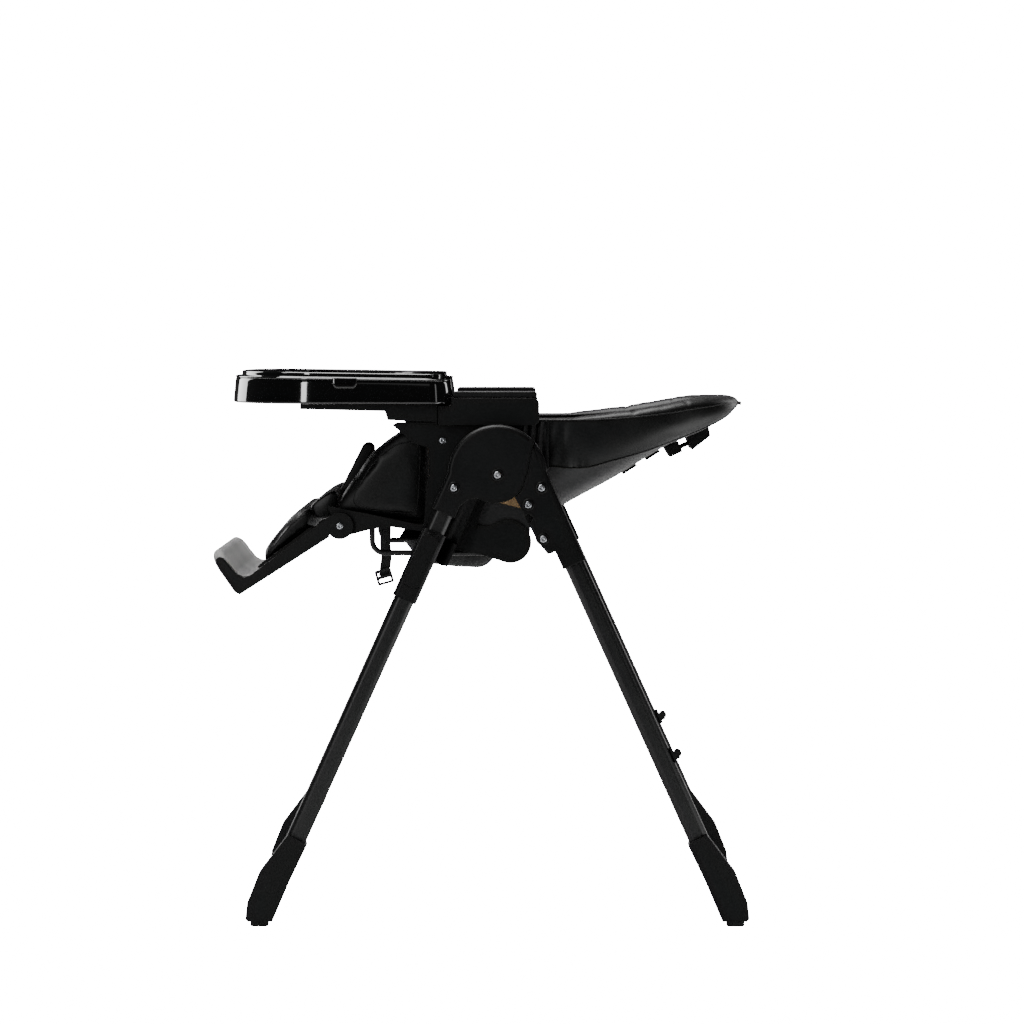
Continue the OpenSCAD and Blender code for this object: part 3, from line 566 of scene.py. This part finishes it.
def tray_ring(inset, count=560):
    """The tray's outline drawn in by inset: a superellipse of power 2.7 in front, round rear corners and
    a circular scoop for the belly, with the scoop's corners eased."""
    e = 2 / 2.7
    a = np.linspace(-1, 1, 121) * math.pi / 2
    bow = np.stack([TRAY_FRONT + TRAY_BOW - TRAY_BOW * np.cos(a) ** e,
                    TRAY_HALF * np.sign(a) * np.abs(np.sin(a)) ** e], 1)
    b = np.linspace(math.pi / 2, 0, 16)
    corner = np.stack([TRAY_REAR - 34 + 34 * np.cos(b), TRAY_HALF - 34 + 34 * np.sin(b)], 1)
    reach = math.asin(168 / 185)
    c = np.linspace(reach, -reach, 60)
    scoop = np.stack([TRAY_REAR + 105 - 185 * np.cos(c), 185 * np.sin(c)], 1)
    scoop = scoop[scoop[:, 0] < TRAY_REAR]
    loop = rounded_loop(np.vstack([bow, corner, scoop, (corner * [1, -1])[::-1]]), count, 3.0)
    t = np.roll(loop, -1, 0) - np.roll(loop, 1, 0)
    t /= np.linalg.norm(t, axis=1, keepdims=True)
    return loop + inset * np.stack([t[:, 1], -t[:, 0]], 1) * (1 if area_of(loop) < 0 else -1)


def area_of(loop):
    """Signed area of a closed line, by the shoelace sum."""
    x, y = loop.T
    return 0.5 * np.sum(x * np.roll(y, -1) - y * np.roll(x, -1))


def tray_skirt():
    """Lower tray: a profile of (inset, height) carried round the outline. Heights above 60 count down
    from the top. The raised lip round the insert is a second profile, and each clip a small loft."""
    profile = [(8, 9), (8, 1.2), (7.2, 0), (2.2, 0), (0.8, 0.5), (0.1, 1.8), (0, 3.5), (0.7, 12),
               (1.8, 22), (3.0, 92), (3.6, 95.2), (4.4, 96.4), (5.6, 96.7), (7.4, 96.7), (8, 96), (8, 12)]
    rings = []
    for inset, h in profile:
        p = tray_ring(inset)
        top = np.interp(p[:, 0], *np.array(TRAY_TOP).T)
        height = top - (100 - h) if h > 60 else np.full(len(p), TRAY_LOW + h)
        rings.append(world(p[:, 0], p[:, 1], height))
    g = np.array(rings)
    grid_piece("tray_skirt", g, "tray", "tray_gloss", ("tray_base",), wrap_v=True, crease=30)
    lip_profile = [(5.9, -3.1), (4.2, -3.0), (3.2, -2.2), (3.0, -1.2), (3.4, -0.3), (4.6, 0.3), (6.5, 0.5),
                   (10, 0.4), (12.4, 0.7), (13.5, 2.0), (14, 4.2), (14.8, 6.8), (16.4, 8.2), (18.4, 8.5),
                   (20.4, 8.0), (21.8, 6.3), (22.2, 3), (22.4, -14), (20.5, -14), (14, -8), (8.4, -3.1)]
    lip = []
    for inset, h in lip_profile:
        p = tray_ring(inset)
        top = np.interp(p[:, 0], *np.array(TRAY_TOP).T)
        lip.append(world(p[:, 0], p[:, 1], top + h))
    g = np.swapaxes(np.array(lip), 0, 1)
    grid_piece("tray_lip", g, "tray_insert", "tray_gloss", wrap_u=True, wrap_v=True)
    for s, name in ((-1, "tray_clip_left"), (1, "tray_clip_right")):
        clip = [(-255, 150), (-216, 149.5), (-216, 140), (-220, 133), (-250, 133), (-255, 140)]
        g = lofted_pad(clip, s * 252.3, s * 246.0, power=5, rings=17, count=72, round_mm=4)
        grid_piece(name, g, "tray", "tray_gloss", wrap_v=True)


# ------------------------------------------------------------------- pads

def pads():
    """Stuffed pieces of the seat and the legrest: side-view outlines carried across, then swollen as cloth."""
    crest = [(-376, -146.5), (-368, -130), (-350, -106), (-325, -76), (-302, -57), (-290, -51), (-284, -56),
             (-290.5, -82.6)]
    calf = grid_piece("calf_cushion", lofted_pad(crest, -171, 171, power=9, rings=61, bulge=1.0, round_mm=7),
                      "legrest", "leatherette", ("calf_pad",), wrap_v=True)
    seat = [(-249, -66), (-252, -60), (-246, -52.5), (-130, -61), (-22, -72), (-17, -80), (-20, -87), (-130, -78.5)]
    cushion = grid_piece("seat_pad", lofted_pad(seat, -132, 132, power=10, rings=61, bulge=0, round_mm=4),
                         "carriage", "leatherette", ("seat_cushion",), wrap_v=True)
    cheek = [(-154, 62), (-194, 35), (-217, 3), (-241, -32), (-254, -56), (-249, -66), (-190, -72.5),
             (-126, -77.5), (-111, -79), (-109, -20), (-109, 58), (-130, 68)]
    for s, name in ((-1, "cheek_pad_left"), (1, "cheek_pad_right")):
        g = lofted_pad(cheek, s * 139, s * 171.3, power=4.5, rings=41, count=140, round_mm=8)
        pad = grid_piece(name, g, "carriage", "leatherette", ("cheek_pads",) if s > 0 else (), wrap_v=True)
        swell(pad, 2.5)
        seam = rounded_loop([(-160, 46), (-190, 22), (-210, -8), (-230, -42), (-228, -56), (-126, -66),
                             (-120, 50)], 160, 22)
        cord_loop("cheek_seam_" + name[-5:].strip("_"), seam, s * 171.6, 0.9, "carriage")
    knee = [(-252, -64), (-250, -34), (-258, -28), (-272, -34), (-288, -45), (-297, -55), (-295, -70), (-282, -77),
            (-264, -74)]
    for s, name in ((-1, "knee_roll_left"), (1, "knee_roll_right")):
        g = lofted_pad(knee, s * 22, s * 150, power=9, rings=31, round_mm=5)
        roll = grid_piece(name, g, None, "leatherette", wrap_v=True)
        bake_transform(roll)
    swell(calf, 5)
    swell(cushion, 3)


def cord_loop(name, loop, y, radius_mm, body, slot="leatherette"):
    """Round cord along a closed side-view line at one y."""
    t = np.roll(loop, -1, 0) - np.roll(loop, 1, 0)
    t /= np.linalg.norm(t, axis=1, keepdims=True)
    side = np.stack([t[:, 1], -t[:, 0]], 1)
    a = np.linspace(0, 2 * math.pi, 10, endpoint=False)[None]
    g = world(loop[:, :1] + side[:, :1] * radius_mm * np.cos(a), y + radius_mm * np.sin(a),
              loop[:, 1:] + side[:, 1:] * radius_mm * np.cos(a))
    return grid_piece(name, g, body, slot, wrap_u=True, wrap_v=True)


def foot_plate():
    """Foot plate: its L-shaped section runs from arm to arm, and its tip comes down near each end by
    R (1 - sqrt(1 - t^2)), as a rounded corner."""
    section = rounded_loop([(-378, -155.5), (-388, -160), (-398, -163), (-410, -156), (-420, -143),
                            (-428, -133), (-433, -124.5), (-441, -121.5), (-448, -125), (-449, -133),
                            (-444, -143), (-413, -187.5), (-404, -191), (-392, -181)], 130, 4)
    y = np.concatenate([[-181.9], -np.cos(np.linspace(0, math.pi, 61)) * 181.6, [181.9]])
    t = np.clip((np.abs(y) - 148) / 34, 0, 1)
    drop = 18 * (1 - np.sqrt(1 - t ** 2 * 0.98))
    tip = np.clip((section[:, 1] + 165) / 38, 0, 1) ** 1.2
    x = section[None, :, 0] + (drop[:, None] * tip) * 0.58
    z = section[None, :, 1] - (drop[:, None] * tip) * 0.82
    grid_piece("foot_tread", world(x, y[:, None], z), "legrest", "footrest_tread", ("footrest",),
               wrap_v=True, crease=50)


# ------------------------------------------------------------ bolts, straps

def bolt_heads(name, places, y, body, replaces=(), size=5.8):
    """Domed heads with hexagon sockets, each a ring profile turned about its bolt; the inner rings are hexagons."""
    a = np.linspace(0, 2 * math.pi, 48, endpoint=False)[None]
    hexagon = math.cos(math.pi / 6) / np.cos((a % (math.pi / 3)) - math.pi / 6)
    r = size * np.array([0.02, 0.36, 0.41, 0.45, 0.62, 0.82, 0.95, 1.0, 1.0, 0.5, 0.02])[:, None]
    h = np.array([0.9, 0.9, 1.1, 2.8, 2.9, 2.5, 1.6, 0.7, 0.0, -1.2, -1.2])[:, None]
    r = r * np.where(np.arange(11)[:, None] < 4, hexagon, 1.0)
    points, faces = [], []
    ring = grid_faces(11, 48, wrap_v=True) + [list(range(48))[::-1], list(range(480, 528))]
    for s in (-1, 1):
        for (x, z), at_y in zip(places, np.broadcast_to(y, len(places))):
            faces += [[i + 528 * len(points) for i in f] for f in ring]
            points.append(world(x + r * np.cos(a), s * (at_y + h) + 0 * a, z + r * np.sin(a)).reshape(-1, 3))
    return new_piece(name, np.concatenate(points), faces, body, "bolt_steel", replaces, crease=40)


def collars(name, places, y, body, inner=6.3, outer=9.4):
    """Low moulded rings round bolts: a closed profile turned about each bolt."""
    a = np.linspace(0, 2 * math.pi, 56, endpoint=False)[None]
    r = np.array([inner, inner, inner + 0.6, outer - 1.0, outer, outer + 0.3, outer, inner])[:, None]
    h = np.array([-1.0, 1.2, 1.7, 1.5, 0.9, 0.1, -1.0, -1.0])[:, None]
    points, faces = [], []
    ring = grid_faces(8, 56, wrap_u=True, wrap_v=True)
    for s in (-1, 1):
        for x, z in places:
            faces += [[i + 448 * len(points) for i in f] for f in ring]
            points.append(world(x + r * np.cos(a), s * (y + h) + 0 * a, z + r * np.sin(a)).reshape(-1, 3))
    return new_piece(name, np.concatenate(points), faces, body, "moulded_plastic", crease=40)


HUB_FACE = 261.0


def fixings():
    """Bolt heads and collars of the hubs, and the screws of the seat's side walls."""
    front, rear = FRONT_BOLTS, REAR_BOLTS
    bolt_heads("front_bolts", front, HUB_FACE, "front_frame", ("front_hub_bolts",))
    bolt_heads("pivot_heads", [(0, 0)], HUB_FACE, "front_frame", ("pivot_bolts",))
    bolt_heads("rear_bolts", rear, HUB_FACE, "rear_frame", ("rear_hub_bolts",))
    bolt_heads("seat_bolts", [(-247, -83), (-86, 51)], [190, 186], "carriage", ("carriage_bolts",))
    collars("front_collars", front + [(0, 0)], HUB_FACE, "front_frame")
    collars("rear_collars", rear, HUB_FACE, "rear_frame")


def ribbon(name, path, wide, width_mm, thick_mm, body, replaces=()):
    """Webbing: a flat section with eased edges along a smoothed path. Its UV runs in metres, for the weave."""
    p = np.array(path, float)
    run = np.concatenate([[0], np.cumsum(np.linalg.norm(np.diff(p, axis=0), axis=1))])
    at = np.linspace(0, run[-1], max(12, int(run[-1] / 3)))
    p = np.stack([smooth_line(np.stack([run, p[:, k]], 1), at) for k in range(3)], 1)
    t = np.gradient(p, axis=0)
    t /= np.linalg.norm(t, axis=1, keepdims=True)
    w = np.broadcast_to(np.array(wide, float), p.shape)
    w = w - (w * t).sum(1, keepdims=True) * t
    w /= np.linalg.norm(w, axis=1, keepdims=True)
    n = np.cross(t, w)
    u = np.array([-1, -0.96, -0.6, 0, 0.6, 0.96, 1, 1, 0.96, 0.6, 0, -0.6, -0.96, -1]) * width_mm / 2
    v = np.array([0.5, 1, 1.1, 1.15, 1.1, 1, 0.5, -0.5, -1, -1.1, -1.15, -1.1, -1, -0.5]) * thick_mm / 2
    g = p[:, None] + w[:, None] * u[None, :, None] + n[:, None] * v[None, :, None]
    uv = np.stack(np.broadcast_arrays(at[:, None] * MM, u[None] * MM), -1)
    return grid_piece(name, world(*np.moveaxis(g, -1, 0)), body, "webbing", replaces, wrap_v=True, uv=uv)


WEBBING = 25


def straps():
    """Harness webbing: lap straps on the seat, the crotch strap and its loose end, and the shoulder straps."""
    for s, name in ((-1, "left"), (1, "right")):
        lap = [(-138, s * 20, -53), (-138, s * 60, -57), (-138, s * 110, -60.5), (-138, s * 134, -61)]
        ribbon("lap_strap_" + name, lap, (1, 0, -0.1), WEBBING, 1.6, "carriage", ("lap_straps",) if s > 0 else ())
        lift = 22.0
        ribbon("shoulder_strap_" + name,
               [(x, s * 48, smooth_line(UNDER, np.array(float(x))) + lift + z) for x, z in
                ((104, 4), (140, 5), (177, 4.5), (215, 5), (262, 3))], (0, 1, 0), WEBBING, 1.6, "backrest",
               ("shoulder_straps",) if s > 0 else ())
    ribbon("crotch_strap", [(-213, 0, -53), (-195, 0, -54.5), (-168, 0, -55)], (0, 1, 0), WEBBING, 1.6, "carriage")
    loose = [(-184, 0, -80.5), (-183, 0, -100), (-184, 1.5, -125), (-182, 0.5, -145), (-184.5, 0, -164),
             (-186, 0.2, -177.5)]
    ribbon("strap_end", loose, (1, 0, 0), 17, 1.8, "carriage", ("strap_tail",))


def basket():
    """Cloth basket: a sheet between the wires whose sag follows (1 - |x|^p)(1 - |y|^4), where p
    grows from 2.8 in front to 6 at the rear, with a rolled hem."""
    u, v = np.meshgrid(np.linspace(-1, 1, 61), np.linspace(-1, 1, 61), indexing="ij")
    x = -76 + 78 * u
    y = 146 * v
    edge = -113 - 7 * u
    sag = 43 * (1 - np.abs(u) ** (4.4 + 1.6 * u)) * (1 - np.abs(v) ** 4)
    z = edge - sag + waves(x + 0.6 * y, 11, (43, 67, 91), 1.2)
    top = world(x, y, z)
    obj = new_piece("basket_cloth", top.reshape(-1, 3), grid_faces(61, 61), "carriage", "basket_cloth",
                    ("basket_sling",))
    cloth = obj.modifiers.new("cloth", "SOLIDIFY")
    cloth.thickness, cloth.offset = 1.2 * MM, 0
    rim = np.concatenate([top[:, 0], top[-1, 1:], top[::-1, -1][1:], top[0, ::-1][1:-1]])
    a = np.linspace(0, 2 * math.pi, 8, endpoint=False)[None, :, None]
    t = np.roll(rim, -1, 0) - np.roll(rim, 1, 0)
    t /= np.linalg.norm(t, axis=1, keepdims=True)
    side = np.cross(t, [0, 0, 1.0])
    side /= np.linalg.norm(side, axis=1, keepdims=True)
    hem = rim[:, None] + 2.2 * MM * (side[:, None] * np.cos(a) + np.cross(side, t)[:, None] * np.sin(a))
    hem_obj = grid_piece("basket_hem", hem, "carriage", "basket_cloth", wrap_u=True, wrap_v=True)


def gussets():
    """Gathered gusset on each side between the seat and the back, over the recline joint: a sheet whose pleats
    are y = a sin(2 pi x / 13) and fade towards its two sewn edges."""
    u, v = np.meshgrid(np.linspace(0, 1, 70), np.linspace(0, 1, 50), indexing="ij")
    x = 14 + 66 * u
    low = np.interp(x, (14, 46, 80), (-40, -34, 6))
    z = low + (81 - low) * v
    fold = 1.7 * np.sin(2 * math.pi * (x + 4 * np.sin(3 * v)) / 13) * (1 - np.abs(2 * u - 1) ** 3)
    for s, name in ((-1, "gusset_left"), (1, "gusset_right")):
        p = world(x, s * (177.6 - 4.2 * u ** 2 + fold), z)
        obj = new_piece(name, p.reshape(-1, 3), grid_faces(70, 50), None, "leatherette")
        wall = obj.modifiers.new("cloth", "SOLIDIFY")
        wall.thickness, wall.offset = 1.0 * MM, 0
        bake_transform(obj)


# ------------------------------------------------------------- CAD pieces

EDGE_MM = {
    "front_foot_left": 3.0, "front_foot_right": 3.0, "rear_foot_left": 3.0, "rear_foot_right": 3.0,
    "slider_left": 1.0, "slider_right": 1.0, "height_button_left": 0.8, "height_button_right": 0.8,
    "seat_base": 1.4, "side_frame_left": 1.2, "side_frame_right": 1.2,
    "armrest_left": 3.0, "armrest_right": 3.0, "armrest_caps": 2.4, "legrest_frame": 1.6,
    "tray_insert": 1.3, "tray_carriers": 1.4, "tray_handle": 1.0, "crotch_post": 5.0, "tray_hooks": 1.2,
    "fold_catch_left": 0.8, "fold_catch_right": 0.8, "front_glides": 1.5, "rear_glides": 1.5,
    "recline_housing": 1.4, "recline_lever": 1.0, "harness_anchors": 0.8, "buckle_body": 1.8,
    "buckle_button": 1.0, "strap_slider": 0.8,
}
LEG_TILT = math.radians(24.3)
FRONT_BOLTS, REAR_BOLTS = [(-67, -20)], [(68, -20), (47.6, -46), (71, -99)]
HUBS = ("front_hub_left", "front_hub_right", "rear_hub_left", "rear_hub_right")


def hub_rim(middle):
    """How far an edge of a hub is rolled over, in mm: most on the dome's rim and along the sleeve, on the
    outer face."""
    x, y, z = (middle - PIVOT) / MM
    from_pivot = math.hypot(x, z)
    by_bolt = min(math.hypot(x - bx, z - bz) for bx, bz in FRONT_BOLTS + REAR_BOLTS + [(0, 0)])
    if abs(y) < 260.5 or by_bolt < 7:
        return 0.6
    down_leg = -z * math.cos(LEG_TILT) + abs(x) * math.sin(LEG_TILT)
    outer_side = abs(x) * math.cos(LEG_TILT) + z * math.sin(LEG_TILT) > 60
    if from_pivot > 75.5 and (z > 0 or outer_side):
        return 7.0
    return 2.0 if down_leg > 60 else 0.9


def softened(node, roll_of, segments=3, clamp=True):
    """A copy of a CAD node with its seams merged and its sharp edges rolled over. roll_of is a width in mm,
    or a function that gives it from the middle of an edge."""
    mesh = NODES[node].data.copy()
    obj = bpy.data.objects.new(node + "_finished", mesh)
    bpy.context.scene.collection.objects.link(obj)
    bm = bmesh.new()
    bm.from_mesh(mesh)
    bmesh.ops.remove_doubles(bm, verts=bm.verts, dist=2e-5)
    bmesh.ops.dissolve_limit(bm, angle_limit=math.radians(0.5), verts=bm.verts, edges=bm.edges)
    share = bm.edges.layers.float.new("bevel_weight_edge")
    widest = 0.0
    sharp = [e for e in bm.edges if len(e.link_faces) == 2 and e.calc_face_angle(0) > math.radians(32)]
    for e in sharp:
        e[share] = roll_of((e.verts[0].co + e.verts[1].co) / 2) if callable(roll_of) else roll_of
        widest = max(widest, e[share])
    for e in sharp:
        e[share] /= widest
    bm.to_mesh(mesh)
    bm.free()
    mesh.shade_smooth()
    roll = obj.modifiers.new("rolled_edges", "BEVEL")
    roll.width, roll.segments, roll.limit_method = widest * MM, segments, "WEIGHT"
    roll.use_clamp_overlap = clamp
    roll.miter_outer = "MITER_ARC"
    flat = obj.modifiers.new("flat_faces", "WEIGHTED_NORMAL")
    flat.mode, flat.weight = "FACE_AREA", 100
    return settle(obj, BODY_OF[node], SLOT_OF[node], (node,))


def cad_finishes():
    """Every carried-over node gets its slot's material, and moulded ones get rolled edges."""
    for name, obj in NODES.items():
        obj.data.materials.clear()
        obj.data.materials.append(MATERIALS[SLOT_OF[name]])
    for name, width in EDGE_MM.items():
        softened(name, width)
    for name in HUBS:
        softened(name, hub_rim, 5, False)


# ------------------------------------------------------------------ studio

PAPER_WHITE = 26.0      # bright enough for the view transform to show it as pure white


def camera_white(tree, shader, output, brightness):
    """White for the camera, and shader for everything else."""
    kind = "ShaderNodeEmission" if output.startswith("Material") else "ShaderNodeBackground"
    white = add(tree, kind, Strength=brightness)
    seen = add(tree, "ShaderNodeLightPath").outputs["Is Camera Ray"]
    mix = add(tree, "ShaderNodeMixShader", {0: seen, 1: shader, 2: white.outputs[0]})
    tree.links.new(mix.outputs["Shader"], tree.nodes[output].inputs["Surface"])


def floor():
    """A pale paper floor."""
    m = bpy.data.materials.new("studio_paper")
    m.use_nodes = True
    t = m.node_tree
    s = t.nodes["Principled BSDF"]
    s.inputs["Base Color"].default_value = grey(0.75)
    s.inputs["Roughness"].default_value = 0.9
    camera_white(t, s.outputs["BSDF"], "Material Output", PAPER_WHITE)
    mesh = bpy.data.meshes.new("studio_floor")
    r = 30.0
    mesh.from_pydata([(-r, -r, -0.0005), (r, -r, -0.0005), (r, r, -0.0005), (-r, r, -0.0005)], [], [(0, 1, 2, 3)])
    mesh.materials.append(m)
    obj = bpy.data.objects.new("studio_floor", mesh)
    bpy.context.scene.collection.objects.link(obj)


def backdrop():
    """White round the chair for the camera, and a dim studio for everything else."""
    world_data = bpy.data.worlds.new("studio")
    bpy.context.scene.world = world_data
    world_data.use_nodes = True
    t = world_data.node_tree
    dim = t.nodes["Background"]
    dim.inputs["Color"].default_value = grey(1.0)
    dim.inputs["Strength"].default_value = 0.03
    camera_white(t, dim.outputs[0], "World Output", PAPER_WHITE)


def main():
    camera()
    backdrop()
    floor()
    lights()
    cad_finishes()
    back_shell()
    back_cover()
    back_liner()
    tray_skirt()
    pads()
    foot_plate()
    fixings()
    straps()
    basket()
    gussets()


main()
